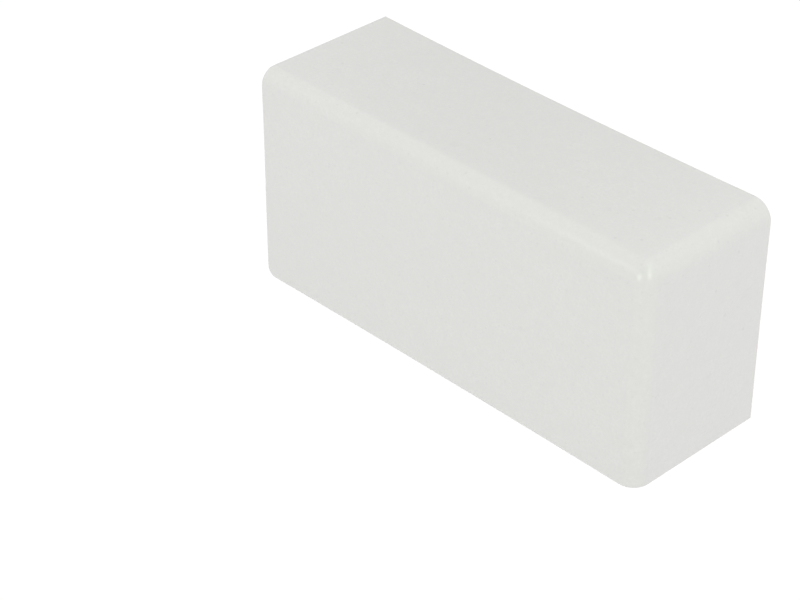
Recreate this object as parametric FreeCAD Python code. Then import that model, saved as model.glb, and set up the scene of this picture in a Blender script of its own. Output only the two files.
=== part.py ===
import FreeCAD, Part
import os
import math

os.makedirs("parts", exist_ok=True)

V = FreeCAD.Vector

# ---------------------------------------------------------------------------
# Right-hand stop end for skirting-level pipe boxing.
#
# A thin moulded cap closes the end of a square boxing profile that runs along
# a wall at floor level.  Three faces are closed: top, front and right end.
# Three are open: the back (against the wall), the bottom (against the floor)
# and the left end (where the boxing enters).  The cap pushes on to a clip
# bracket that is fixed to the wall.
#
# Frame, in millimetres: X along the boxing, +X to the closed end.
# -Y is the front, +Y is the wall side.  +Z is up.
# Origin: centre of the footprint, on the floor.
# ---------------------------------------------------------------------------

# Cap, outside
CAP_L = 105.5          # along X
CAP_D = 35.0           # along Y, off the wall
CAP_H = 50.0           # along Z, off the floor
WALL = 2.2             # moulded wall thickness
R_TOP_FRONT = 3.6      # outside radius, top to front
R_TOP_END = 4.2        # outside radius, top to closed end
R_FRONT_END = 4.0      # outside radius, front to closed end
R_TOE = 2.1            # corner of the front face at the open end, on the floor

# Cap, inside
MOUTH = 28.0           # how far the boxing profile enters
STOP_T = 1.6           # stop rib, along X
STOP_H = 1.8           # stop rib, stands off the wall
RIM_CLEAR = 1.5        # ribs end this far inside the free rims
CRUSH_W = 0.9          # crush ribs in the mouth
CRUSH_H = 0.45

# Tongues on the cap that the spring clips grip
CLIP_MID_X = 13.0      # middle of the bracket
TONGUE_DX = 15.0       # each tongue is this far from the middle
TONGUE_T = 2.0
TONGUE_Z0 = 31.0
TONGUE_Z1 = 43.0
TONGUE_TIP_Y = 11.0
TONGUE_ROOT_Y = 1.0    # the tongue's web ends here along the top wall
BEAD_Y = 8.2
BEAD_H = 0.25          # bead stands off each side of the tongue
BEAD_HALF = 0.9

# Clip bracket
PAD_T = 1.0            # foam pad behind the bracket
PLATE_T = 2.0
PLATE_HALF = 33.0
PLATE_Z0 = 24.0
PLATE_Z1 = 46.8
LEDGE_T = 1.6
LEDGE_Y0 = 6.0
CHEEK_IN = 2.5         # half gap between the two cheeks of a jaw
CHEEK_T = 1.8
CHEEK_Y0 = 3.4
CHEEK_Z0 = 28.0
HOLE_DX = 27.0         # screw holes from the middle of the bracket
HOLE_Z = 35.0
HOLE_R = 2.25          # clearance for a 4 mm wood screw
BOSS_R = 5.0
BOSS_H = 1.0

# Spring clips
CLIP_T = 0.4
CLIP_Z0 = 30.5
CLIP_Z1 = 43.5
WAIST_Y = 6.2
WAIST_HALF = 1.32      # half gap at the waist, just over half the bead
MOUTH_HALF = 2.2       # half gap where the clip flares open

# Foam pads
PAD_LEN = 61.0
PAD_H = 5.5

XL = -CAP_L / 2
XR = CAP_L / 2
YF = -CAP_D / 2
YB = CAP_D / 2


def box(x0, x1, y0, y1, z0, z1):
    return Part.makeBox(x1 - x0, y1 - y0, z1 - z0, V(x0, y0, z0))


def fillet_three(shape, x, y, z, r_tf, r_te, r_fe):
    """Round the three edges that meet at the corner x, y, z, each to its own radius."""
    spec = [("x", {"y": y, "z": z}, r_tf),
            ("y", {"x": x, "z": z}, r_te),
            ("z", {"x": x, "y": y}, r_fe)]
    picked = []
    for i, e in enumerate(shape.Edges):
        a, b = e.Vertexes[0].Point, e.Vertexes[-1].Point
        for axis, at, r in spec:
            k = "xyz".index(axis)
            if abs(a[k] - b[k]) < 5.0:
                continue
            if all(abs(p["xyz".index(n)] - c) < 1e-6 for p in (a, b) for n, c in at.items()):
                picked.append((i + 1, r, r))
    doc = FreeCAD.newDocument("rounding")
    base = doc.addObject("Part::Feature", "Base")
    base.Shape = shape
    rounded = doc.addObject("Part::Fillet", "Rounded")
    rounded.Base = base
    rounded.Edges = picked
    doc.recompute()
    out = rounded.Shape.copy()
    FreeCAD.closeDocument(doc.Name)
    return out


def prism_x(pts, x0, x1):
    """A polygon of (y, z) points, extruded from x0 to x1."""
    wire = Part.makePolygon([V(x0, y, z) for y, z in pts + [pts[0]]])
    return Part.Face(wire).extrude(V(x1 - x0, 0, 0))


def prism_z(pts, z0, z1):
    """A polygon of (x, y) points, extruded from z0 to z1."""
    wire = Part.makePolygon([V(x, y, z0) for x, y in pts + [pts[0]]])
    return Part.Face(wire).extrude(V(0, 0, z1 - z0))


# ---------------------------------------------------------------------------
# The cap
# ---------------------------------------------------------------------------
outer = box(XL, XR, YF, YB, 0, CAP_H)
outer = fillet_three(outer, XR, YF, CAP_H, R_TOP_FRONT, R_TOP_END, R_FRONT_END)
inner = box(XL - 5, XR - WALL, YF + WALL, YB + 5, -5, CAP_H - WALL)
inner = fillet_three(inner, XR - WALL, YF + WALL, CAP_H - WALL,
                     max(R_TOP_FRONT - WALL, 0.8), R_TOP_END - WALL, R_FRONT_END - WALL)
cap = outer.cut(inner)

# the toe: the front face's corner at the open end is rounded in its own plane
toe_cut = box(XL - 1, XL + R_TOE, YF - 1, YF + WALL + 1, -1, R_TOE)
toe_keep = Part.makeCylinder(R_TOE, WALL + 4, V(XL + R_TOE, YF - 2, R_TOE), V(0, 1, 0))
cap = cap.cut(toe_cut.cut(toe_keep))

iy = YF + WALL            # inner face of the front wall
iz = CAP_H - WALL         # inner face of the top wall
ix = XR - WALL            # inner face of the closed end
EMBED = 0.6               # ribs reach this far into the wall they stand on

ribs = []
# stop rib that the boxing profile meets, on the front wall and the top wall
sx0 = XL + MOUTH
ribs.append(box(sx0, sx0 + STOP_T, iy - EMBED, iy + STOP_H, RIM_CLEAR, iz + EMBED))
ribs.append(box(sx0, sx0 + STOP_T, iy - EMBED, YB - RIM_CLEAR, iz - STOP_H, iz + EMBED))
# low crush ribs that take up the play of the boxing profile
for z in (9.0, 24.0, 39.0):
    ribs.append(box(XL + 3.0, sx0 + 0.2, iy - EMBED, iy + CRUSH_H, z, z + CRUSH_W))
for y in (-6.0, 8.0):
    ribs.append(box(XL + 3.0, sx0 + 0.2, y, y + CRUSH_W, iz - CRUSH_H, iz + EMBED))
# gussets between the front wall and the closed end, and the top wall and the closed end
for z in (12.0, 26.0):
    ribs.append(prism_z([(ix + EMBED, iy - EMBED), (ix - 6.0, iy - EMBED), (ix - 6.0, iy),
                         (ix, iy + 6.0), (ix + EMBED, iy + 6.0)], z, z + 1.4))
# tongues with their webs
tongues = []
for s in (-1, 1):
    tx = CLIP_MID_X + s * TONGUE_DX
    web = prism_x([(iy - EMBED, iz + EMBED), (TONGUE_ROOT_Y, iz + EMBED), (TONGUE_ROOT_Y, iz),
                   (TONGUE_ROOT_Y + 1.0, TONGUE_Z1), (TONGUE_TIP_Y - 1.2, TONGUE_Z1),
                   (TONGUE_TIP_Y, TONGUE_Z1 - 1.2), (TONGUE_TIP_Y, TONGUE_Z0 + 1.2),
                   (TONGUE_TIP_Y - 1.2, TONGUE_Z0), (-3.0, TONGUE_Z0), (iy, 27.0),
                   (iy - EMBED, 27.0)], tx - TONGUE_T / 2, tx + TONGUE_T / 2)
    tongues.append(web)
    h = TONGUE_T / 2
    bead = prism_z([(tx - h, BEAD_Y - BEAD_HALF), (tx - h - BEAD_H, BEAD_Y), (tx - h, BEAD_Y + BEAD_HALF),
                    (tx + h, BEAD_Y + BEAD_HALF), (tx + h + BEAD_H, BEAD_Y), (tx + h, BEAD_Y - BEAD_HALF)],
                   TONGUE_Z0 + 1.5, TONGUE_Z1 - 1.5)
    tongues.append(bead)

cap = cap.fuse(ribs + tongues).removeSplitter()
if cap.ShapeType == "Compound":
    cap = cap.Solids[0]

# ---------------------------------------------------------------------------
# The clip bracket
# ---------------------------------------------------------------------------
py1 = YB - PAD_T              # back of the plate
py0 = py1 - PLATE_T           # front of the plate
px0 = CLIP_MID_X - PLATE_HALF
px1 = CLIP_MID_X + PLATE_HALF

plate = box(px0, px1, py0, py1, PLATE_Z0, PLATE_Z1)
corner = [e for e in plate.Edges
          if abs(e.Vertexes[0].Point.y - e.Vertexes[-1].Point.y) > 0.5
          and e.Vertexes[0].Point.z < PLATE_Z0 + 1]
plate = plate.makeFillet(3.0, corner)
adds = [box(px0, px1, LEDGE_Y0, py1, PLATE_Z1 - LEDGE_T, PLATE_Z1)]
for s in (-1, 1):
    jx = CLIP_MID_X + s * TONGUE_DX
    for side in (-1, 1):
        a = jx + side * CHEEK_IN
        b = jx + side * (CHEEK_IN + CHEEK_T)
        lo, hi = min(a, b), max(a, b)
        adds.append(prism_x([(py0 + 0.5, CHEEK_Z0 - 2.5), (py0, CHEEK_Z0 - 2.5), (py0 - 4.0, CHEEK_Z0),
                             (CHEEK_Y0 + 1.5, CHEEK_Z0), (CHEEK_Y0, CHEEK_Z0 + 1.5),
                             (CHEEK_Y0, PLATE_Z1 - LEDGE_T - 1.6), (CHEEK_Y0 + 2.6, PLATE_Z1 - LEDGE_T + 0.4),
                             (py0 + 0.5, PLATE_Z1 - LEDGE_T + 0.4)], lo, hi))
    # a floor under each spring clip, so that it cannot slide down out of its jaw
    adds.append(box(jx - CHEEK_IN - 0.3, jx + CHEEK_IN + 0.3, py0 - 6.5, py0 + 0.5, CLIP_Z0 - 1.6, CLIP_Z0))
    # round boss about each screw hole
    hx = CLIP_MID_X + s * HOLE_DX
    adds.append(Part.makeCylinder(BOSS_R, BOSS_H + 0.5, V(hx, py0 - BOSS_H, HOLE_Z), V(0, 1, 0)))
    # a gusset under the ledge, outside each screw hole
    gx = CLIP_MID_X + s * (PLATE_HALF - 1.6)
    adds.append(prism_x([(py0 + 0.5, PLATE_Z1 - LEDGE_T + 0.4), (LEDGE_Y0 + 0.8, PLATE_Z1 - LEDGE_T + 0.4),
                         (LEDGE_Y0 + 0.8, PLATE_Z1 - LEDGE_T), (py0, PLATE_Z1 - LEDGE_T - 7.0),
                         (py0 + 0.5, PLATE_Z1 - LEDGE_T - 7.0)], gx - 0.8, gx + 0.8))
bracket = plate.fuse(adds)
holes = []
for s in (-1, 1):
    hx = CLIP_MID_X + s * HOLE_DX
    holes.append(Part.makeCylinder(HOLE_R, 10, V(hx, py1 + 2, HOLE_Z), V(0, -1, 0)))
for h in holes:
    bracket = bracket.cut(h)
bracket = bracket.removeSplitter()
if bracket.ShapeType == "Compound":
    bracket = bracket.Solids[0]

# ---------------------------------------------------------------------------
# The two spring clips: one bent strip each, a U with a waist and a flared mouth
# ---------------------------------------------------------------------------


def spring_clip(jx):
    base_y = py0                       # the back of the U bears on the plate
    t = CLIP_T
    out_half = CHEEK_IN                # outside of the legs, against the cheeks
    # centre line of one leg: (half distance from the middle, y), from base to mouth
    outer_pts = [(out_half, base_y), (out_half, 10.4), (WAIST_HALF + t, WAIST_Y + 0.5),
                 (WAIST_HALF + t, WAIST_Y - 0.5), (MOUTH_HALF + t * 0.72, 3.9)]
    inner_pts = [(MOUTH_HALF, 3.7), (WAIST_HALF, WAIST_Y - 0.62), (WAIST_HALF, WAIST_Y + 0.62),
                 (out_half - t, 10.5), (out_half - t, base_y - t)]
    right = [(jx + d, y) for d, y in outer_pts + inner_pts]
    left = [(jx - d, y) for d, y in reversed(outer_pts + inner_pts)]
    return prism_z(right + left, CLIP_Z0, CLIP_Z1)


clip_left = spring_clip(CLIP_MID_X - TONGUE_DX)
clip_right = spring_clip(CLIP_MID_X + TONGUE_DX)

# ---------------------------------------------------------------------------
# The two self-adhesive foam pads between the bracket and the wall
# ---------------------------------------------------------------------------


def foam_pad(z0):
    p = box(CLIP_MID_X - PAD_LEN / 2, CLIP_MID_X + PAD_LEN / 2, py1, YB, z0, z0 + PAD_H)
    e = [k for k in p.Edges if abs(k.Vertexes[0].Point.y - k.Vertexes[-1].Point.y) > 0.5]
    return p.makeFillet(1.0, e)


pad_lower = foam_pad(PLATE_Z0 + 1.0)
pad_upper = foam_pad(PLATE_Z1 - 1.0 - PAD_H)

nodes = {
    "end_cap": cap,
    "clip_bracket": bracket,
    "spring_clip_left": clip_left,
    "spring_clip_right": clip_right,
    "foam_pad_lower": pad_lower,
    "foam_pad_upper": pad_upper,
}

for name, shape in nodes.items():
    n = len(shape.Solids)
    bb = shape.BoundBox
    print("%-18s solids %d valid %s volume %9.2f  x %.2f..%.2f y %.2f..%.2f z %.2f..%.2f"
          % (name, n, shape.isValid(), shape.Volume, bb.XMin, bb.XMax, bb.YMin, bb.YMax, bb.ZMin, bb.ZMax))
    shape.exportStep("parts/%s.step" % name)
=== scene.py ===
import bpy
import bmesh
import math
import numpy as np
from mathutils import Matrix, Vector


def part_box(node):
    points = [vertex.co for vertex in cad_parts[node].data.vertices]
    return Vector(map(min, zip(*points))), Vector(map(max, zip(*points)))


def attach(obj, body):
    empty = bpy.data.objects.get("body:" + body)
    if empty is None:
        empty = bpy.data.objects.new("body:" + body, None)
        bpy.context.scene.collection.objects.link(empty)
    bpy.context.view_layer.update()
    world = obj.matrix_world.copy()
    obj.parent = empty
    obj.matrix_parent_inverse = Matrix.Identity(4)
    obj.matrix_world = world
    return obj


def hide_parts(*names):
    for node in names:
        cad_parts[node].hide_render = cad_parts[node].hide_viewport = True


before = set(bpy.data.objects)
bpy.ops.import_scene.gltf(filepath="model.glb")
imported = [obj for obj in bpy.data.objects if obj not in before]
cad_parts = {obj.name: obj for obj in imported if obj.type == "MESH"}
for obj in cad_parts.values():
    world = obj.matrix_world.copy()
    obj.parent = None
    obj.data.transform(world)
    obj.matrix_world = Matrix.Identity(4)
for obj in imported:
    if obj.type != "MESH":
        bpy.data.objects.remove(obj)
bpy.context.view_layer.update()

MM = 0.001

# ---------------------------------------------------------------------------
# Positions, from the frame, in millimetres
# ---------------------------------------------------------------------------


def box_mm(node):
    lo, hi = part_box(node)
    return [c / MM for c in lo], [c / MM for c in hi]


cap_lo, cap_hi = box_mm("end_cap")
XL, YF, Z0 = cap_lo
XR, YB, H = cap_hi
br_lo, br_hi = box_mm("clip_bracket")
WALL = 2.2
IX, IY, IZ = XR - WALL, YF + WALL, H - WALL     # inner faces

# ---------------------------------------------------------------------------
# Mesh helpers.  Everything is worked out in millimetres.
# ---------------------------------------------------------------------------


def smooth01(t):
    t = np.clip(t, 0.0, 1.0)
    return t * t * (3 - 2 * t)


def new_object(name, bm, smooth=True):
    bmesh.ops.recalc_face_normals(bm, faces=bm.faces)
    me = bpy.data.meshes.new(name)
    bm.to_mesh(me)
    bm.free()
    if smooth:
        me.polygons.foreach_set("use_smooth", [True] * len(me.polygons))
    ob = bpy.data.objects.new(name, me)
    bpy.context.scene.collection.objects.link(ob)
    return ob


def loft(rings, closed_ends=True):
    """A closed solid through rings of points, all with the same count."""
    bm = bmesh.new()
    rows = [[bm.verts.new(p) for p in ring] for ring in rings]
    n = len(rows[0])
    for a, b in zip(rows, rows[1:]):
        for i in range(n):
            j = (i + 1) % n
            bm.faces.new((a[i], a[j], b[j], b[i]))
    if closed_ends:
        bm.faces.new(list(reversed(rows[0])))
        bm.faces.new(rows[-1])
    bmesh.ops.recalc_face_normals(bm, faces=bm.faces)
    return bm


def rounded_solid(pts2, axis, a0, a1, r, seg=3, angle=25.0):
    """A polygon of 2-D points, extruded along an axis from a0 to a1, with all its sharp edges rounded.
    axis 'x': points are (y, z); axis 'y': (x, z); axis 'z': (x, y)."""
    def at(p, a):
        if axis == "x":
            return (a, p[0], p[1])
        if axis == "y":
            return (p[0], a, p[1])
        return (p[0], p[1], a)
    bm = bmesh.new()
    lo = [bm.verts.new(at(p, a0)) for p in pts2]
    hi = [bm.verts.new(at(p, a1)) for p in pts2]
    n = len(pts2)
    bm.faces.new(lo)
    bm.faces.new(list(reversed(hi)))
    for i in range(n):
        j = (i + 1) % n
        bm.faces.new((lo[i], hi[i], hi[j], lo[j]))
    bmesh.ops.recalc_face_normals(bm, faces=bm.faces)
    if r > 0:
        sharp = [e for e in bm.edges if len(e.link_faces) == 2
                 and e.calc_face_angle(0.0) > math.radians(angle)]
        bmesh.ops.bevel(bm, geom=sharp, offset=r, offset_type="OFFSET", segments=seg,
                        profile=0.5, affect="EDGES", clamp_overlap=True)
    return bm


def rounded_box(x0, x1, y0, y1, z0, z1, r, seg=3):
    return rounded_solid([(x0, y0), (x1, y0), (x1, y1), (x0, y1)], "z", z0, z1, r, seg)


def rib_profile(t, h, root, top, embed, n=5):
    """Section of a rib on a wall: u across, v out of the wall.  Concave roots, rounded crest."""
    half = t / 2
    pts = [(-half - root, -embed), (-half - root, 0.0)]
    for k in range(1, n + 1):
        a = math.radians(90) * k / n
        pts.append((-half - root + root * math.sin(a), root - root * math.cos(a)))
    for k in range(n + 1):
        a = math.radians(90) * k / n
        pts.append((-half + top - top * math.cos(a), h - top + top * math.sin(a)))
    right = [(-u, v) for u, v in reversed(pts)]
    return pts + right


def rib(origin, u, v, w, length, t, h, root=0.35, top=0.3, embed=0.6, taper=0.35):
    """A rib of the profile above that starts at origin and runs along w; its ends slope down."""
    u, v, w, o = Vector(u), Vector(v), Vector(w), Vector(origin)
    rings = []
    for d, k in ((0.0, 1 - taper / max(h, 0.01)), (taper, 1.0), (length - taper, 1.0),
                 (length, 1 - taper / max(h, 0.01))):
        k = max(k, 0.25)
        prof = rib_profile(t, h, root, top, embed)
        ring = []
        for a, b in prof:
            ring.append(o + u * a + v * (b * k if b > 0 else b) + w * d)
        rings.append(ring)
    return loft(rings)


def disc(centre, normal, r, h, embed=0.4, chamfer=0.06, n=48):
    """A low round boss or an ejector mark: it stands h off the wall."""
    nrm = Vector(normal).normalized()
    a = Vector((0, 0, 1)) if abs(nrm.z) < 0.9 else Vector((1, 0, 0))
    ux = nrm.cross(a).normalized()
    uy = nrm.cross(ux)
    c = Vector(centre)
    rings = []
    for rr, hh in ((r, -embed), (r, max(h - chamfer, h * 0.4)), (r - chamfer, h)):
        rings.append([c + ux * (rr * math.cos(2 * math.pi * k / n)) + uy * (rr * math.sin(2 * math.pi * k / n))
                      + nrm * hh for k in range(n)])
    return loft(rings)


def combine(base, tools, operation="UNION"):
    """Boolean of base with each tool mesh in turn, applied."""
    for k, bm in enumerate(tools):
        tool = new_object("tool_%d" % k, bm, smooth=False)
        mod = base.modifiers.new("cut", "BOOLEAN")
        mod.operation = operation
        mod.solver = "EXACT"
        mod.object = tool
        bpy.context.view_layer.update()
        dg = bpy.context.evaluated_depsgraph_get()
        me = bpy.data.meshes.new_from_object(base.evaluated_get(dg))
        old = base.data
        base.modifiers.clear()
        base.data = me
        bpy.data.meshes.remove(old)
        tme = tool.data
        bpy.data.objects.remove(tool)
        bpy.data.meshes.remove(tme)
    return base


def finish_mesh(ob, move=None, angle=32.0, merge=0.004):
    """Weld what the booleans left, move the points by a field if one is given, go to metres, and shade."""
    me = ob.data
    bm = bmesh.new()
    bm.from_mesh(me)
    bmesh.ops.remove_doubles(bm, verts=bm.verts, dist=merge)
    bmesh.ops.dissolve_degenerate(bm, dist=merge * 0.5, edges=bm.edges)
    bm.normal_update()
    if move is not None:
        for v in bm.verts:
            v.co = move(v.co)
    for v in bm.verts:
        v.co = v.co * MM
    big = [f for f in bm.faces if len(f.verts) > 4]
    bmesh.ops.triangulate(bm, faces=big, quad_method="BEAUTY", ngon_method="BEAUTY")
    bmesh.ops.recalc_face_normals(bm, faces=bm.faces)
    bm.to_mesh(me)
    bm.free()
    me.polygons.foreach_set("use_smooth", [True] * len(me.polygons))
    me.set_sharp_from_angle(angle=math.radians(angle))
    me.update()
    return ob


def weighted(ob):
    m = ob.modifiers.new("weighted", "WEIGHTED_NORMAL")
    m.keep_sharp = True
    m.weight = 60
    return ob


# ---------------------------------------------------------------------------
# The cap's shell: one continuous quad skin, outside, round the rims and inside
# ---------------------------------------------------------------------------
R_CORNER = 3.8          # where the three rounded edges meet
R_TF_OPEN = 3.45        # top to front, at the open end
R_TE_BACK = 4.25        # top to closed end, at the wall side
R_FE_FLOOR = 3.95       # front to closed end, at the floor
R_TOE = 2.1             # front face's corner at the open end on the floor
LIP = 0.10              # small round along the free rims
NF = 9                  # segments in each half of a rounded edge


def r_tf(x):
    return R_TF_OPEN + (R_CORNER - R_TF_OPEN) * smooth01((x - XL) / (XR - R_CORNER - XL))


def r_te(y):
    return R_TE_BACK + (R_CORNER - R_TE_BACK) * smooth01((YB - y) / (YB - YF - R_CORNER))


def r_fe(z):
    return R_FE_FLOOR + (R_CORNER - R_FE_FLOOR) * smooth01(z / (H - R_CORNER))


def spaced(a, b, step):
    n = max(1, int(round(abs(b - a) / step)))
    return [a + (b - a) * k / n for k in range(n + 1)]


def build_shell(step=1.75):
    xs = spaced(XL + LIP, XL + R_TOE, 0.5)[:-1] + spaced(XL + R_TOE, XR - R_CORNER, step)
    ys = spaced(YB - LIP, YF + R_CORNER, step)
    zs = spaced(LIP, R_TOE, 0.5)[:-1] + spaced(R_TOE, H - R_CORNER, step)
    phi = [math.radians(45) * k / NF for k in range(1, NF + 1)]
    ns, nt, nu = len(xs) - 1, len(ys) - 1, len(zs) - 1
    XLe, YBe = XL + LIP, YB - LIP

    def corner(a, b, c):
        """A point on the corner patch: a, b, c are the direction's parts along +X, -Y and +Z."""
        d = Vector((a, -b, c)).normalized()
        p = Vector((XR - R_CORNER, YF + R_CORNER, H - R_CORNER)) + d * R_CORNER
        return p, d

    def sx(i, a):
        return XLe + (xs[i] - XLe) / (XR - R_CORNER - XLe) * (XR - a - XLe)

    def sy(j, b):
        return YBe + (ys[j] - YBe) / (YF + R_CORNER - YBe) * (YF + b - YBe)

    def sz(k, c):
        return LIP + (zs[k] - LIP) / (H - R_CORNER - LIP) * (H - c - LIP)

    def top(i, j):
        fi, fj = i > ns, j > nt
        if not fi and not fj:
            return Vector((sx(i, r_te(ys[j])), sy(j, r_tf(xs[i])), H)), Vector((0, 0, 1))
        if fj and not fi:
            p, r = phi[j - nt - 1], r_tf(xs[i])
            n = Vector((0, -math.sin(p), math.cos(p)))
            return Vector((xs[i], YF + r, H - r)) + n * r, n
        if fi and not fj:
            p, r = phi[i - ns - 1], r_te(ys[j])
            n = Vector((math.sin(p), 0, math.cos(p)))
            return Vector((XR - r, ys[j], H - r)) + n * r, n
        return corner(math.tan(phi[i - ns - 1]), math.tan(phi[j - nt - 1]), 1.0)

    def toe(x, z):
        cx, cz, h = XL + R_TOE, R_TOE, R_TOE - LIP
        if x < cx - 1e-9 and z < cz - 1e-9:
            u, w = (x - cx) / h, (z - cz) / h
            return cx + h * u * math.sqrt(1 - w * w / 2), cz + h * w * math.sqrt(1 - u * u / 2)
        return x, z

    def front(i, k):
        fi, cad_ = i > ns, k > nu
        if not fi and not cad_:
            x, z = toe(sx(i, r_fe(zs[k])), sz(k, r_tf(xs[i])))
            return Vector((x, YF, z)), Vector((0, -1, 0))
        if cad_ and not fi:
            p, r = phi[k - nu - 1], r_tf(xs[i])
            n = Vector((0, -math.cos(p), math.sin(p)))
            return Vector((xs[i], YF + r, H - r)) + n * r, n
        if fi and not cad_:
            p, r = phi[i - ns - 1], r_fe(zs[k])
            n = Vector((math.sin(p), -math.cos(p), 0))
            return Vector((XR - r, YF + r, zs[k])) + n * r, n
        return corner(math.tan(phi[i - ns - 1]), 1.0, math.tan(phi[k - nu - 1]))

    def right(j, k):
        fj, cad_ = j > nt, k > nu
        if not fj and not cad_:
            return Vector((XR, sy(j, r_fe(zs[k])), sz(k, r_te(ys[j])))), Vector((1, 0, 0))
        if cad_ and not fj:
            p, r = phi[k - nu - 1], r_te(ys[j])
            n = Vector((math.cos(p), 0, math.sin(p)))
            return Vector((XR - r, ys[j], H - r)) + n * r, n
        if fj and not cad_:
            p, r = phi[j - nt - 1], r_fe(zs[k])
            n = Vector((math.cos(p), -math.sin(p), 0))
            return Vector((XR - r, YF + r, zs[k])) + n * r, n
        return corner(1.0, math.tan(phi[j - nt - 1]), math.tan(phi[k - nu - 1]))

    bm = bmesh.new()
    seen = {}

    def vert(p):
        key = (round(p.x, 3), round(p.y, 3), round(p.z, 3))
        if key not in seen:
            seen[key] = bm.verts.new(p)
        return seen[key]

    def face(vs):
        vs = [v for n_, v in enumerate(vs) if v not in vs[:n_]]
        if len(vs) >= 3:
            try:
                bm.faces.new(vs)
            except ValueError:
                pass

    ni, nj, nk = ns + NF, nt + NF, nu + NF
    for fn, na, nb in ((top, ni, nj), (front, ni, nk), (right, nj, nk)):
        grid = [[fn(a, b) for b in range(nb + 1)] for a in range(na + 1)]
        outer = [[vert(p) for p, n in row] for row in grid]
        inner = [[vert(p - n * WALL) for p, n in row] for row in grid]
        for a in range(na):
            for b in range(nb):
                face([outer[a][b], outer[a + 1][b], outer[a + 1][b + 1], outer[a][b + 1]])
                face([inner[a][b], inner[a][b + 1], inner[a + 1][b + 1], inner[a + 1][b]])

    # the rim: the loop of boundary points, each with its surface normal and its way out
    loop = []
    X_, Y_, Z_ = Vector((-1, 0, 0)), Vector((0, 1, 0)), Vector((0, 0, -1))
    for i in range(ni + 1):
        p, n = top(i, 0)
        loop.append((p, n, Y_ + X_ if i == 0 else Y_))
    for k in range(nk - 1, -1, -1):
        p, n = right(0, k)
        loop.append((p, n, Y_ + Z_ if k == 0 else Y_))
    for j in range(1, nj + 1):
        p, n = right(j, 0)
        loop.append((p, n, Z_))
    for i in range(ni - 1, -1, -1):
        p, n = front(i, 0)
        loop.append((p, n, Z_))
    for k in range(1, nk + 1):
        p, n = front(0, k)
        loop.append((p, n, X_))
    for j in range(nj - 1, 0, -1):
        p, n = top(0, j)
        loop.append((p, n, X_))
    cx, cz = XL + R_TOE, R_TOE
    fixed = []
    for p, n, out in loop:
        if abs(n.y + 1) < 1e-9 and p.x < cx - 1e-6 and p.z < cz - 1e-6:
            out = Vector((p.x - cx, 0, p.z - cz)).normalized()
        fixed.append((p, n, out))
    m = 4
    strips = []
    for p, n, out in fixed:
        q = p - n * WALL
        row = []
        for k in range(m + 1):
            a = math.radians(90) * k / m
            row.append(p + out * (LIP * math.sin(a)) - n * (LIP * (1 - math.cos(a))))
        row.append(p - n * (WALL / 2) + out * LIP)
        for k in range(m, -1, -1):
            a = math.radians(90) * k / m
            row.append(q + out * (LIP * math.sin(a)) + n * (LIP * (1 - math.cos(a))))
        strips.append([vert(c) for c in row])
    for a, b in zip(strips, strips[1:] + strips[:1]):
        for k in range(len(a) - 1):
            face([a[k], b[k], b[k + 1], a[k + 1]])
    return bm


# How the free rims have drawn in as the moulding cooled (millimetres, at mid-length)
SAG_TOP = 0.62
BOW_FRONT = 0.34
BOW_END = 0.09


def shrink(co):
    x, y, z = co
    u = min(max((x - XL) / (XR - XL), 0.0), 1.0)
    v = min(max((y - YF) / (YB - YF), 0.0), 1.0)
    w = min(max(z / H, 0.0), 1.0)
    arch = 4 * u * (1 - u)
    dz = -SAG_TOP * arch * v ** 1.5 * float(smooth01((z - 42.5) / 4.6))
    dy = BOW_FRONT * arch * (1 - w) ** 1.5 * float(smooth01((-13.2 - y) / 1.9))
    dx = -BOW_END * 4 * w * (1 - w) * v ** 1.5 * float(smooth01((x - IX + 2.0) / 1.9))
    near = float(smooth01(1 - (x - XL) / 14.0))
    if near > 0:
        flare = 0.12 * min(1.0, 4 * w * (1 - w) + 0.35) + 0.18 * math.exp(-((z - 45.5) / 5.5) ** 2)
        dx -= near * flare * math.exp(-(max(0.0, y - YF - 0.4) / 2.7) ** 2) * float(smooth01(z / 6.0))
    return Vector((x + dx, y + dy, z + dz))


CLIP_MID_X = (br_lo[0] + br_hi[0]) / 2
TONGUES = (CLIP_MID_X - 15.0, CLIP_MID_X + 15.0)

shell = new_object("end_cap_moulding", build_shell())

ribs = []
sx0 = XL + 28.0
# stop rib, front wall and top wall
ribs.append(rib((sx0 + 0.8, IY, 1.5), (1, 0, 0), (0, 1, 0), (0, 0, 1), IZ - 1.5 + 0.5, 1.6, 1.8))
ribs.append(rib((sx0 + 0.8, YB - 1.5, IZ), (1, 0, 0), (0, 0, -1), (0, -1, 0), YB - 1.5 - IY + 0.5, 1.6, 1.8))
# crush ribs in the mouth
for z in (9.45, 24.45, 39.45):
    ribs.append(rib((XL + 3.0, IY, z), (0, 0, 1), (0, 1, 0), (1, 0, 0), 25.6, 0.9, 0.45, root=0.2, top=0.2, taper=0.3))
for y in (-5.55, 8.45):
    ribs.append(rib((XL + 3.0, y, IZ), (0, 1, 0), (0, 0, -1), (1, 0, 0), 25.6, 0.9, 0.45, root=0.2, top=0.2, taper=0.3))
# corner gussets between the front wall and the closed end
for z in (12.0, 26.0):
    pts = [(IX + 0.6, IY - 0.6), (IX - 6.0, IY - 0.6), (IX - 6.0, IY)]
    for k in range(1, 8):
        a = math.radians(90) * k / 8
        pts.append((IX - 6.0 + 6.0 * math.sin(a) * 1.0, IY + 6.0 - 6.0 * math.cos(a) + 0.0))
    pts += [(IX, IY + 6.0), (IX + 0.6, IY + 6.0)]
    ribs.append(rounded_solid(pts, "z", z, z + 1.4, 0.25, 3, 40.0))
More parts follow.
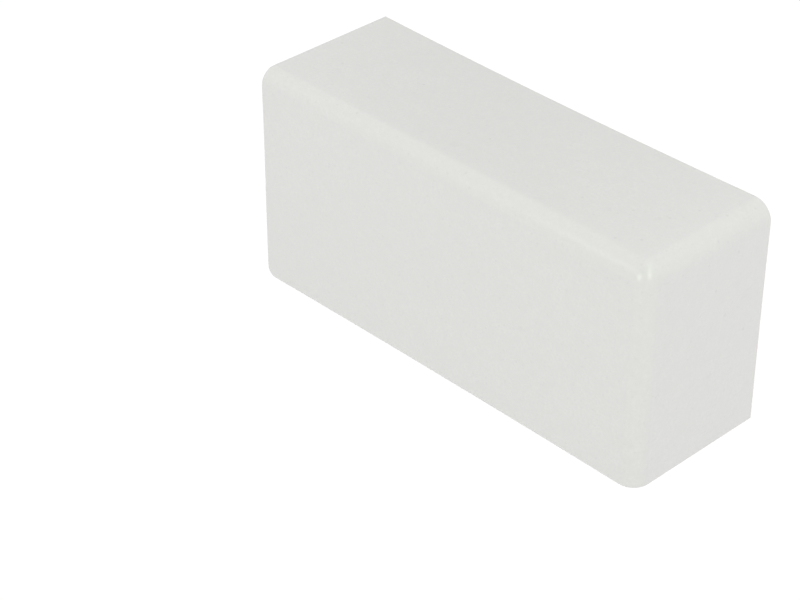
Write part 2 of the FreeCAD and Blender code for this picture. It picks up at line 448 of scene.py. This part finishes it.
# tongues with their webs, beads and root fillets
for tx in TONGUES:
    pts = [(IY - 0.6, IZ + 0.6), (1.0, IZ + 0.6), (1.0, IZ), (1.15, 45.2), (1.6, 44.0), (2.4, 43.2), (3.4, 43.0),
           (9.8, 43.0), (11.0, 41.8), (11.0, 32.2), (9.8, 31.0), (-3.0, 31.0), (IY, 27.0), (IY - 0.6, 27.0)]
    ribs.append(rounded_solid(pts, "x", tx - 1.0, tx + 1.0, 0.28, 3, 20.0))
    ribs.append(rounded_solid([(tx - 1.0, 7.3), (tx - 1.25, 8.2), (tx - 1.0, 9.1), (tx + 1.0, 9.1), (tx + 1.25, 8.2),
                               (tx + 1.0, 7.3)], "z", 32.5, 41.5, 0.08, 2, 20.0))
    ribs.append(rib((tx, 0.6, IZ), (1, 0, 0), (0, 0, -1), (0, -1, 0), 0.6 - IY + 0.3, 2.0, 0.55, root=0.5, top=0.02, taper=0.05))
    ribs.append(rib((tx, IY, 27.4), (1, 0, 0), (0, 1, 0), (0, 0, 1), IZ - 27.4 + 0.3, 2.0, 0.55, root=0.5, top=0.02, taper=0.05))
# ejector marks on the inside, and the gate's stub
for x, z in ((-38.0, 16.0), (-14.0, 12.0), (13.0, 18.0), (38.0, 9.0), (13.0, 38.0)):
    ribs.append(disc((x, IY, z), (0, 1, 0), 2.5, 0.10))
for x, y in ((-38.0, 1.5), (-12.0, 2.0), (13.0, -7.0), (44.0, 2.0)):
    ribs.append(disc((x, y, IZ), (0, 0, -1), 2.5, 0.10))
for y, z in ((6.0, 12.0), (2.0, 36.0)):
    ribs.append(disc((IX, y, z), (-1, 0, 0), 2.0, 0.10))
ribs.append(disc((IX, -3.5, 22.0), (-1, 0, 0), 1.1, 0.55, chamfer=0.15))
combine(shell, ribs)
finish_mesh(shell, shrink)
weighted(shell)
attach(shell, "cap")
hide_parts("end_cap")

# ---------------------------------------------------------------------------
# The clip bracket
# ---------------------------------------------------------------------------
px0, px1 = br_lo[0], br_hi[0]
pz0, pz1 = br_lo[2], br_hi[2]
py1 = br_hi[1]
py0 = py1 - 2.0
led0 = 6.0
arc = []
for k in range(9):
    a = math.radians(180 + 90 * k / 8)
    arc.append((px0 + 3 + 3 * math.cos(a), pz0 + 3 + 3 * math.sin(a)))
for k in range(9):
    a = math.radians(270 + 90 * k / 8)
    arc.append((px1 - 3 + 3 * math.cos(a), pz0 + 3 + 3 * math.sin(a)))
plate_pts = arc + [(px1, pz1), (px0, pz1)]
bracket = new_object("clip_bracket_moulding", rounded_solid(plate_pts, "y", py0, py1, 0.3, 3, 30.0))
adds = [rounded_box(px0, px1, led0, py1 - 0.01, pz1 - 1.6, pz1, 0.3)]
adds.append(rib((px0 + 0.4, py0, pz1 - 1.6 - 0.0), (0, 0, 1), (0, -1, 0), (1, 0, 0), px1 - px0 - 0.8, 0.6, 0.6, root=0.55, top=0.02, embed=0.5, taper=0.02))
for jx, hx, s in ((CLIP_MID_X - 15.0, CLIP_MID_X - 27.0, -1), (CLIP_MID_X + 15.0, CLIP_MID_X + 27.0, 1)):
    for side in (-1, 1):
        a, b = jx + side * 2.5, jx + side * 4.3
        lo_, hi_ = min(a, b), max(a, b)
        adds.append(rounded_solid([(py0 + 0.5, 25.5), (py0, 25.5), (py0 - 4.0, 28.0), (4.9, 28.0), (3.4, 29.5),
                                   (3.4, 43.6), (6.0, 45.6), (py0 + 0.5, 45.6)], "x", lo_, hi_, 0.25, 3, 15.0))
        adds.append(rib(((lo_ + hi_) / 2, py0, 26.2), (1, 0, 0), (0, -1, 0), (0, 0, 1), 19.0, 1.8, 0.4, root=0.38, top=0.02, embed=0.5, taper=0.02))
    adds.append(rounded_box(jx - 2.8, jx + 2.8, py0 - 6.5, py0 + 0.5, 28.9, 30.5, 0.15, 2))
    adds.append(disc((hx, py0, 35.0), (0, -1, 0), 5.0, 1.0, chamfer=0.25, n=64))
    gx = CLIP_MID_X + s * 31.4
    adds.append(rounded_solid([(py0 + 0.5, 45.6), (led0 + 0.8, 45.6), (led0 + 0.8, 45.2), (py0, 38.2), (py0 + 0.5, 38.2)],
                              "x", gx - 0.8, gx + 0.8, 0.22, 3, 15.0))
combine(bracket, adds)
cuts = []
for hx in (CLIP_MID_X - 27.0, CLIP_MID_X + 27.0):
    n = 64
    rings = []
    for r_, y_ in ((2.75, py1 + 0.6), (2.55, py1 + 0.001), (2.25, py1 - 0.3), (2.25, py0 - 0.75), (2.5, py0 - 1.001), (2.7, py0 - 1.6)):
        rings.append([(hx + r_ * math.cos(2 * math.pi * k / n), y_, 35.0 + r_ * math.sin(2 * math.pi * k / n)) for k in range(n)])
    cuts.append(loft(rings))
combine(bracket, cuts, "DIFFERENCE")
finish_mesh(bracket, None, 28.0)
weighted(bracket)
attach(bracket, "bracket")
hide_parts("clip_bracket")

# ---------------------------------------------------------------------------
# The spring clips: a bent strip with round bends
# ---------------------------------------------------------------------------


def smooth_path(pts, r, n=7):
    """Straight runs joined by arcs of about radius r, as the strip's centre line."""
    out = [Vector(pts[0])]
    for a, b, c in zip(pts, pts[1:], pts[2:]):
        a, b, c = Vector(a), Vector(b), Vector(c)
        d0, d1 = (a - b), (c - b)
        l0, l1 = d0.length, d1.length
        d0, d1 = d0 / l0, d1 / l1
        turn = math.pi - d0.angle(d1)
        if turn < 1e-3:
            out.append(b)
            continue
        cut = min(r * math.tan(turn / 2), 0.45 * min(l0, l1))
        rr = cut / math.tan(turn / 2)
        bis = (d0 + d1).normalized()
        centre = b + bis * (rr / math.cos(turn / 2))
        s = b + d0 * cut
        e = b + d1 * cut
        v0, v1 = s - centre, e - centre
        for k in range(n + 1):
            t = k / n
            ang = turn * t
            w0 = math.sin(turn - ang) / math.sin(turn)
            w1 = math.sin(ang) / math.sin(turn)
            out.append(centre + v0 * w0 + v1 * w1)
    out.append(Vector(pts[-1]))
    return out


def spring_clip(name, node, jx):
    lo, hi = box_mm(node)
    t = 0.4
    z0, z1 = lo[2], hi[2]
    base = hi[1] - t / 2
    side = [(2.5 - t / 2, 10.45), (1.32 + t / 2, 6.75), (1.32 + t / 2, 5.65), (2.2 + t * 0.35, 3.82)]
    pts = [(d, y) for d, y in reversed(side)] + [(2.5 - t / 2, base), (-2.5 + t / 2, base)] + [(-d, y) for d, y in side]
    line = smooth_path([(jx + d, y, 0) for d, y in pts], 0.55)
    left, right = [], []
    for k, p in enumerate(line):
        a = line[max(k - 1, 0)]
        b = line[min(k + 1, len(line) - 1)]
        d = (b - a).normalized()
        n = Vector((-d.y, d.x, 0))
        left.append(p + n * (t / 2))
        right.append(p - n * (t / 2))
    e = 0.07
    rings = []
    for k, p in enumerate(line):
        a, b = left[k], right[k]
        n = (a - b).normalized()
        # the strip's section: a thin rectangle with eased edges, one relief step at each long edge
        sec = [(a - n * e, z0), (a, z0 + e), (a, z1 - e), (a - n * e, z1), (b + n * e, z1), (b, z1 - e), (b, z0 + e), (b + n * e, z0)]
        rings.append([(q.x, q.y, z) for q, z in sec])
    ob = new_object(name, loft(rings))
    # a round locating hole through each leg, behind the bead
    hole = []
    n = 32
    ring = []
    for x_ in (jx - 6.0, jx + 6.0):
        ring.append([(x_, 12.2 + 0.9 * math.cos(2 * math.pi * k / n), 37.0 + 0.9 * math.sin(2 * math.pi * k / n)) for k in range(n)])
    hole.append(loft(ring))
    combine(ob, hole, "DIFFERENCE")
    finish_mesh(ob, None, 40.0, merge=0.002)
    weighted(ob)
    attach(ob, "bracket")
    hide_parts(node)
    return ob


clip_l = spring_clip("spring_clip_strip_left", "spring_clip_left", CLIP_MID_X - 15.0)
clip_r = spring_clip("spring_clip_strip_right", "spring_clip_right", CLIP_MID_X + 15.0)

# ---------------------------------------------------------------------------
# The foam pads: soft strip, slightly bulged along its cut edges
# ---------------------------------------------------------------------------


def foam_pad(name, node):
    lo, hi = box_mm(node)
    x0, y0, z0 = lo
    x1, y1, z1 = hi
    nx, nz, ny = 96, 10, 4
    rng = np.random.default_rng(7 + int(z0))
    waves = [(rng.uniform(0.15, 1.1), rng.uniform(0, 6.28), rng.uniform(0.01, 0.035)) for _ in range(6)]

    def wob(s):
        return sum(a * math.sin(f * s + p) for f, p, a in waves)
    rings = []
    r = 1.0
    outline = []
    cx0, cx1, cz0, cz1 = x0 + r, x1 - r, z0 + r, z1 - r
    for k in range(nx + 1):
        outline.append((cx0 + (cx1 - cx0) * k / nx, z0, 0, -1))
    for k in range(1, 9):
        a = math.radians(-90 + 90 * k / 8)
        outline.append((cx1 + r * math.cos(a), cz0 + r * math.sin(a), math.cos(a), math.sin(a)))
    for k in range(1, nz + 1):
        outline.append((x1, cz0 + (cz1 - cz0) * k / nz, 1, 0))
    for k in range(1, 9):
        a = math.radians(90 * k / 8)
        outline.append((cx1 + r * math.cos(a), cz1 + r * math.sin(a), math.cos(a), math.sin(a)))
    for k in range(1, nx + 1):
        outline.append((cx1 - (cx1 - cx0) * k / nx, z1, 0, 1))
    for k in range(1, 9):
        a = math.radians(90 + 90 * k / 8)
        outline.append((cx0 + r * math.cos(a), cz1 + r * math.sin(a), math.cos(a), math.sin(a)))
    for k in range(1, nz + 1):
        outline.append((x0, cz1 - (cz1 - cz0) * k / nz, -1, 0))
    for k in range(1, 8):
        a = math.radians(180 + 90 * k / 8)
        outline.append((cx0 + r * math.cos(a), cz0 + r * math.sin(a), math.cos(a), math.sin(a)))
    for k in range(ny * 2 + 1):
        t = k / (ny * 2)
        inset = 0.14 * (1 - math.sin(math.pi * t)) + 0.05
        y = y0 + (y1 - y0) * t
        rings.append([(x - nx_ * (inset + wob(x * 1.7 + z)), y, z - nz_ * (inset + wob(x + z * 2.1))) for x, z, nx_, nz_ in outline])
    ob = new_object(name, loft(rings))
    finish_mesh(ob, None, 50.0)
    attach(ob, "bracket")
    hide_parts(node)
    return ob


pad_lo = foam_pad("foam_pad_strip_lower", "foam_pad_lower")
pad_hi = foam_pad("foam_pad_strip_upper", "foam_pad_upper")

# ---------------------------------------------------------------------------
# Materials
# ---------------------------------------------------------------------------


class Nodes:
    """Small helper to write a node tree."""

    def __init__(self, name):
        self.mat = bpy.data.materials.new(name)
        self.mat.use_nodes = True
        self.t = self.mat.node_tree
        self.t.nodes.clear()
        self.out = self.add("ShaderNodeOutputMaterial")
        self.bsdf = self.add("ShaderNodeBsdfPrincipled")
        self.link(self.bsdf.outputs["BSDF"], self.out.inputs["Surface"])
        self.coord = self.add("ShaderNodeTexCoord").outputs["Object"]

    def add(self, kind, **props):
        n = self.t.nodes.new(kind)
        for k, v in props.items():
            setattr(n, k, v)
        return n

    def link(self, a, b):
        self.t.links.new(a, b)

    def mapped(self, scale=(1, 1, 1), rotation=(0, 0, 0), location=(0, 0, 0)):
        m = self.add("ShaderNodeMapping")
        m.inputs["Scale"].default_value = scale
        m.inputs["Rotation"].default_value = rotation
        m.inputs["Location"].default_value = location
        self.link(self.coord, m.inputs["Vector"])
        return m.outputs["Vector"]

    def noise(self, scale, detail=3.0, rough=0.5, vector=None, distortion=0.0):
        n = self.add("ShaderNodeTexNoise")
        n.inputs["Scale"].default_value = scale
        n.inputs["Detail"].default_value = detail
        n.inputs["Roughness"].default_value = rough
        n.inputs["Distortion"].default_value = distortion
        self.link(vector if vector is not None else self.coord, n.inputs["Vector"])
        return n.outputs["Fac"]

    def voronoi(self, scale, feature="F1", vector=None, randomness=1.0):
        n = self.add("ShaderNodeTexVoronoi", feature=feature)
        n.inputs["Scale"].default_value = scale
        n.inputs["Randomness"].default_value = randomness
        self.link(vector if vector is not None else self.coord, n.inputs["Vector"])
        return n

    def ramp(self, fac, lo, hi, out_lo=0.0, out_hi=1.0, smooth=True):
        n = self.add("ShaderNodeMapRange")
        n.interpolation_type = "SMOOTHSTEP" if smooth else "LINEAR"
        n.inputs["From Min"].default_value = lo
        n.inputs["From Max"].default_value = hi
        n.inputs["To Min"].default_value = out_lo
        n.inputs["To Max"].default_value = out_hi
        self.link(fac, n.inputs["Value"])
        return n.outputs["Result"]

    def math(self, op, a, b=None, c=None):
        n = self.add("ShaderNodeMath", operation=op)
        for k, v in enumerate((a, b, c)):
            if v is None:
                continue
            if isinstance(v, (int, float)):
                n.inputs[k].default_value = v
            else:
                self.link(v, n.inputs[k])
        return n.outputs["Value"]

    def mix(self, fac, a, b):
        n = self.add("ShaderNodeMix", data_type="RGBA")
        for key, v in (("Factor", fac), ("A", a), ("B", b)):
            sock = [s for s in n.inputs if s.name == key and (s.type == "RGBA" or key == "Factor" and s.type == "VALUE")][0]
            if isinstance(v, (int, float)):
                sock.default_value = v
            elif isinstance(v, tuple):
                sock.default_value = (*v, 1.0)
            else:
                self.link(v, sock)
        return [s for s in n.outputs if s.type == "RGBA"][0]

    def bump(self, height, strength, distance, normal=None):
        n = self.add("ShaderNodeBump")
        n.inputs["Strength"].default_value = strength
        n.inputs["Distance"].default_value = distance
        self.link(height, n.inputs["Height"])
        if normal is not None:
            self.link(normal, n.inputs["Normal"])
        return n.outputs["Normal"]


def assign(ob, mat):
    ob.data.materials.clear()
    ob.data.materials.append(mat)


CAP_RGB = (0.6450, 0.6380, 0.6410)


def cap_material():
    m = Nodes("cap_plastic")
    base = CAP_RGB
    dark = tuple(c * 0.90 for c in base)
    # slow mottling of the pigment, and a finer one
    slow = m.ramp(m.noise(26.0, 3.0, 0.55), 0.3, 0.7)
    fine = m.ramp(m.noise(1500.0, 2.0, 0.6), 0.32, 0.68)
    mid = m.ramp(m.noise(420.0, 2.0, 0.55, m.mapped(location=(0.21, 0.43, 0.17))), 0.35, 0.7)
    col = m.mix(slow, tuple(c * 1.006 for c in base), tuple(c * 1.022 for c in base))
    col = m.mix(fine, col, tuple(c * 0.982 for c in base))
    col = m.mix(m.math("MULTIPLY", mid, 0.7), col, tuple(c * 0.980 for c in base))
    # specks: small dark inclusions in some of the cells, a few large and many faint
    v = m.voronoi(330.0)
    keep = m.ramp(v.outputs["Color"], 0.57, 0.60)
    speck = m.math("MULTIPLY", m.ramp(v.outputs["Distance"], 0.05, 0.15, 1.0, 0.0), keep)
    v2 = m.voronoi(640.0, vector=m.mapped(location=(0.11, 0.07, 0.23)))
    keep2 = m.ramp(v2.outputs["Color"], 0.54, 0.58)
    speck2 = m.math("MULTIPLY", m.ramp(v2.outputs["Distance"], 0.08, 0.24, 1.0, 0.0), keep2)
    specks = m.math("MAXIMUM", speck, m.math("MULTIPLY", speck2, 0.5))
    col = m.mix(m.math("MULTIPLY", specks, 0.80), col, dark)
    # scuffs: short fine lines in broken patches
    lines = m.noise(260.0, 2.0, 0.5, m.mapped((1.0, 1.0, 6.0), (0.35, 0.6, 0.2)))
    patch = m.ramp(m.noise(60.0, 2.0, 0.5, m.mapped(location=(0.3, 0.1, 0.7))), 0.55, 0.62)
    scuff = m.math("MULTIPLY", m.ramp(lines, 0.60, 0.68), patch)
    col = m.mix(m.math("MULTIPLY", scuff, 0.35), col, tuple(c * 0.94 for c in base))
    m.link(col, m.bsdf.inputs["Base Color"])
    rough = m.ramp(m.noise(140.0, 4.0, 0.6), 0.3, 0.7, 0.30, 0.38)
    rough = m.math("ADD", rough, m.math("MULTIPLY", scuff, 0.12))
    m.link(rough, m.bsdf.inputs["Roughness"])
    n1 = m.bump(m.noise(1400.0, 3.0, 0.6), 0.10, 0.00004)
    n2 = m.bump(m.noise(70.0, 2.0, 0.5), 0.05, 0.0004, n1)
    n3 = m.bump(m.math("SUBTRACT", 1.0, m.math("MAXIMUM", specks, scuff)), 0.18, 0.00003, n2)
    m.link(n3, m.bsdf.inputs["Normal"])
    m.bsdf.inputs["IOR"].default_value = 1.5
    # the skin of the moulding is a little glossier than the body below it
    m.bsdf.inputs["Coat Weight"].default_value = 0.20
    m.bsdf.inputs["Coat Roughness"].default_value = 0.17
    m.bsdf.inputs["Coat IOR"].default_value = 1.5
    m.link(m.bump(m.noise(900.0, 2.0, 0.5), 0.04, 0.00003), m.bsdf.inputs["Coat Normal"])
    return m.mat


def bracket_material():
    m = Nodes("bracket_plastic")
    base = (0.46, 0.47, 0.47)
    slow = m.ramp(m.noise(32.0, 3.0, 0.55), 0.3, 0.7)
    col = m.mix(slow, tuple(c * 0.94 for c in base), tuple(c * 1.04 for c in base))
    flow = m.ramp(m.noise(30.0, 3.0, 0.6, m.mapped((0.35, 1.0, 1.6)), 1.4), 0.45, 0.6)
    col = m.mix(m.math("MULTIPLY", flow, 0.2), col, tuple(c * 0.9 for c in base))
    m.link(col, m.bsdf.inputs["Base Color"])
    m.link(m.ramp(m.noise(220.0, 4.0, 0.6), 0.3, 0.7, 0.42, 0.56), m.bsdf.inputs["Roughness"])
    n1 = m.bump(m.noise(1800.0, 3.0, 0.6), 0.35, 0.00006)
    m.link(n1, m.bsdf.inputs["Normal"])
    m.bsdf.inputs["IOR"].default_value = 1.52
    return m.mat


def steel_material():
    m = Nodes("spring_steel")
    base = (0.56, 0.555, 0.54)
    grain = m.noise(120.0, 4.0, 0.6, m.mapped((1.0, 1.0, 34.0)))
    col = m.mix(m.ramp(grain, 0.3, 0.7), tuple(c * 0.86 for c in base), tuple(min(1, c * 1.06) for c in base))
    stain = m.ramp(m.noise(260.0, 3.0, 0.6), 0.55, 0.7)
    col = m.mix(m.math("MULTIPLY", stain, 0.3), col, (0.36, 0.33, 0.29))
    m.link(col, m.bsdf.inputs["Base Color"])
    m.bsdf.inputs["Metallic"].default_value = 1.0
    m.link(m.ramp(grain, 0.3, 0.7, 0.24, 0.40), m.bsdf.inputs["Roughness"])
    m.link(m.bump(grain, 0.25, 0.00003), m.bsdf.inputs["Normal"])
    return m.mat


def foam_material():
    m = Nodes("pad_foam")
    base = (0.66, 0.645, 0.60)
    v = m.voronoi(2600.0)
    # pore cells: one field gives the bump its pits, and painted shade that darkens the colour towards the bottom of
    # each pit
    pore_pits_and_shade = m.ramp(v.outputs["Distance"], 0.1, 0.6)
    # painted shade: the foam colour is darker in the pore pits
    col = m.mix(pore_pits_and_shade, tuple(c * 0.80 for c in base), tuple(min(1, c * 1.05) for c in base))
    col = m.mix(m.ramp(m.noise(90.0, 3.0, 0.6), 0.35, 0.65, 0.0, 0.4), col, tuple(c * 0.9 for c in base))
    m.link(col, m.bsdf.inputs["Base Color"])
    m.link(m.ramp(m.noise(400.0, 3.0, 0.6), 0.3, 0.7, 0.78, 0.92), m.bsdf.inputs["Roughness"])
    m.link(m.bump(pore_pits_and_shade, 0.8, 0.00012), m.bsdf.inputs["Normal"])
    m.bsdf.inputs["IOR"].default_value = 1.4
    return m.mat


mat_cap, mat_bracket, mat_steel, mat_foam = cap_material(), bracket_material(), steel_material(), foam_material()
assign(shell, mat_cap)
assign(bracket, mat_bracket)
assign(clip_l, mat_steel)
assign(clip_r, mat_steel)
assign(pad_lo, mat_foam)
assign(pad_hi, mat_foam)
# the CAD nodes behind them carry the same finishes
for node, mat in (("end_cap", mat_cap), ("clip_bracket", mat_bracket), ("spring_clip_left", mat_steel),
                  ("spring_clip_right", mat_steel), ("foam_pad_lower", mat_foam), ("foam_pad_upper", mat_foam)):
    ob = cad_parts[node]
    if len(ob.material_slots):
        for s in ob.material_slots:
            s.material = mat
    else:
        ob.data.materials.append(mat)

# ---------------------------------------------------------------------------
# Floor, light and camera
# ---------------------------------------------------------------------------
bm = bmesh.new()
bmesh.ops.create_grid(bm, x_segments=8, y_segments=8, size=4.0)
floor = new_object("studio_floor", bm, smooth=False)
fm = Nodes("studio_floor")
fcol = fm.mix(fm.ramp(fm.noise(3.0, 2.0, 0.5), 0.3, 0.7), (0.040, 0.040, 0.040), (0.044, 0.044, 0.044))
fm.link(fcol, fm.bsdf.inputs["Base Color"])
fm.bsdf.inputs["Roughness"].default_value = 0.9
fm.bsdf.inputs["Specular IOR Level"].default_value = 0.0
fm.bsdf.inputs["Emission Color"].default_value = (1.0, 1.0, 1.0, 1.0)
fm.bsdf.inputs["Emission Strength"].default_value = 0.985
# the floor is there from above only, so the open underside can be looked at
side = fm.add("ShaderNodeMixShader")
clear = fm.add("ShaderNodeBsdfTransparent")
geo = fm.add("ShaderNodeNewGeometry")
fm.link(geo.outputs["Backfacing"], side.inputs[0])
fm.link(fm.bsdf.outputs["BSDF"], side.inputs[1])
fm.link(clear.outputs["BSDF"], side.inputs[2])
fm.link(side.outputs["Shader"], fm.out.inputs["Surface"])
floor.location.z = -0.0001
assign(floor, fm.mat)

# a white sweep far behind everything; it neither lights the object nor shows in it
bm = bmesh.new()
bmesh.ops.create_uvsphere(bm, u_segments=48, v_segments=24, radius=5.5)
backdrop = new_object("studio_backdrop", bm)
bd = Nodes("studio_backdrop")
bd.link(bd.mix(bd.ramp(bd.noise(2.0, 2.0, 0.5), 0.3, 0.7), (0.040, 0.040, 0.040), (0.044, 0.044, 0.044)), bd.bsdf.inputs["Base Color"])
bd.bsdf.inputs["Roughness"].default_value = 0.9
bd.bsdf.inputs["Specular IOR Level"].default_value = 0.0
bd.bsdf.inputs["Emission Color"].default_value = (1.0, 1.0, 1.0, 1.0)
bd.bsdf.inputs["Emission Strength"].default_value = 1.0
assign(backdrop, bd.mat)
backdrop.visible_diffuse = False
backdrop.visible_glossy = False
backdrop.visible_transmission = False
backdrop.visible_volume_scatter = False
backdrop.visible_shadow = False

scene = bpy.context.scene
scene.view_settings.view_transform = "Standard"
scene.view_settings.look = "None"
world = bpy.data.worlds.new("studio")
scene.world = world
world.use_nodes = True
bg = world.node_tree.nodes.get("Background") or world.node_tree.nodes.new("ShaderNodeBackground")
wout = world.node_tree.nodes.get("World Output") or world.node_tree.nodes.new("ShaderNodeOutputWorld")
world.node_tree.links.new(bg.outputs[0], wout.inputs[0])
bg.inputs["Color"].default_value = (1.0, 1.0, 1.0, 1.0)
bg.inputs["Strength"].default_value = 0.3180


def softbox(name, azimuth, elevation, distance, width, height, radiance, color):
    """A rectangular diffuser.  Azimuth is clockwise from +Y, seen from above; radiance is of its face."""
    az, el = math.radians(azimuth), math.radians(elevation)
    d = Vector((math.sin(az) * math.cos(el), math.cos(az) * math.cos(el), math.sin(el)))
    data = bpy.data.lights.new(name, "AREA")
    data.shape = "RECTANGLE"
    data.size = width
    data.size_y = height
    data.energy = radiance * math.pi * width * height
    data.color = color
    ob = bpy.data.objects.new(name, data)
    scene.collection.objects.link(ob)
    ob.location = Vector((0, 0, 0.025)) + d * distance
    ob.visible_camera = False
    ob.rotation_mode = "QUATERNION"
    ob.rotation_quaternion = (-d).to_track_quat("-Z", "Y")
    return ob


def tube(name, end_a, end_b, width, radiance, color, mirror_only=False):
    """A narrow tube light between two points, each measured in metres from the middle of the part."""
    pts = [Vector(end_a), Vector(end_b)]
    along = (pts[0] - pts[1]).normalized()
    mid = (pts[0] + pts[1]) / 2
    away = (mid - along * mid.dot(along)).normalized()
    data = bpy.data.lights.new(name, "AREA")
    data.shape = "RECTANGLE"
    data.size = width
    data.size_y = (pts[0] - pts[1]).length
    data.energy = radiance * math.pi * data.size * data.size_y
    data.color = color
    ob = bpy.data.objects.new(name, data)
    scene.collection.objects.link(ob)
    turn = Matrix((along.cross(away), along, away)).transposed()
    ob.matrix_world = Matrix.Translation(mid + Vector((0, 0, 0.025))) @ turn.to_4x4()
    ob.visible_diffuse = not mirror_only
    ob.visible_camera = False
    return ob


def strip(name, end_a, end_b, distance, width, radiance, color, mirror_only=False):
    """A tube light between two directions, each an azimuth and an elevation as above."""
    pts = []
    for azimuth, elevation in (end_a, end_b):
        az, el = math.radians(azimuth), math.radians(elevation)
        pts.append(Vector((math.sin(az) * math.cos(el), math.cos(az) * math.cos(el), math.sin(el))) * distance)
    return tube(name, pts[0], pts[1], width, radiance, color, mirror_only)


strip("strip_right", (100.0, 66.0), (121.0, 10.0), 1.429, 0.260, 5.726, (0.970, 1.000, 0.892))
softbox("strip_front", 174.6, 17.4, 0.729, 0.170, 0.310, 7.666, (0.958, 1.000, 0.876))
softbox("softbox_left", 244.8, 8.0, 0.933, 1.195, 0.832, 0.797, (1.014, 1.000, 1.072))
softbox("softbox_back", 22.8, 33.1, 0.717, 1.597, 1.029, 0.808, (1.017, 1.000, 1.028))
softbox("softbox_above", 271.3, 61.2, 0.649, 0.930, 1.067, 0.700, (1.032, 1.000, 1.024))
strip("strip_left", (220.0, 38.0), (190.0, 12.0), 1.000, 0.060, 7.500, (0.942, 1.000, 0.848), mirror_only=True)
tube("tube_right_end", (0.0754, 0.0164, 0.1689), (0.1131, -0.0039, 0.1602), 0.012, 4.500, (0.942, 1.000, 0.848), mirror_only=True)
softbox("softbox_top", 60.0, 78.0, 1.000, 0.900, 0.900, 0.185, (0.540, 1.000, 0.380))

cam_data = bpy.data.cameras.new("camera")
cam = bpy.data.objects.new("camera", cam_data)
scene.collection.objects.link(cam)
cam_data.sensor_width = 36.0
cam_data.lens = 108.54
cam_data.clip_start = 0.01
cam_data.clip_end = 20.0
right_ = Vector((0.6927013, 0.7212187, 0.0029164))
down_ = Vector((0.4040424, -0.3847105, -0.8299082))
fwd_ = Vector((-0.5974233, 0.5760568, -0.5578924))
rot = Matrix((right_, -down_, -fwd_)).transposed()
cam.matrix_world = Matrix.Translation(Vector((0.2818383, -0.3005347, 0.2872232))) @ rot.to_4x4()
scene.camera = cam
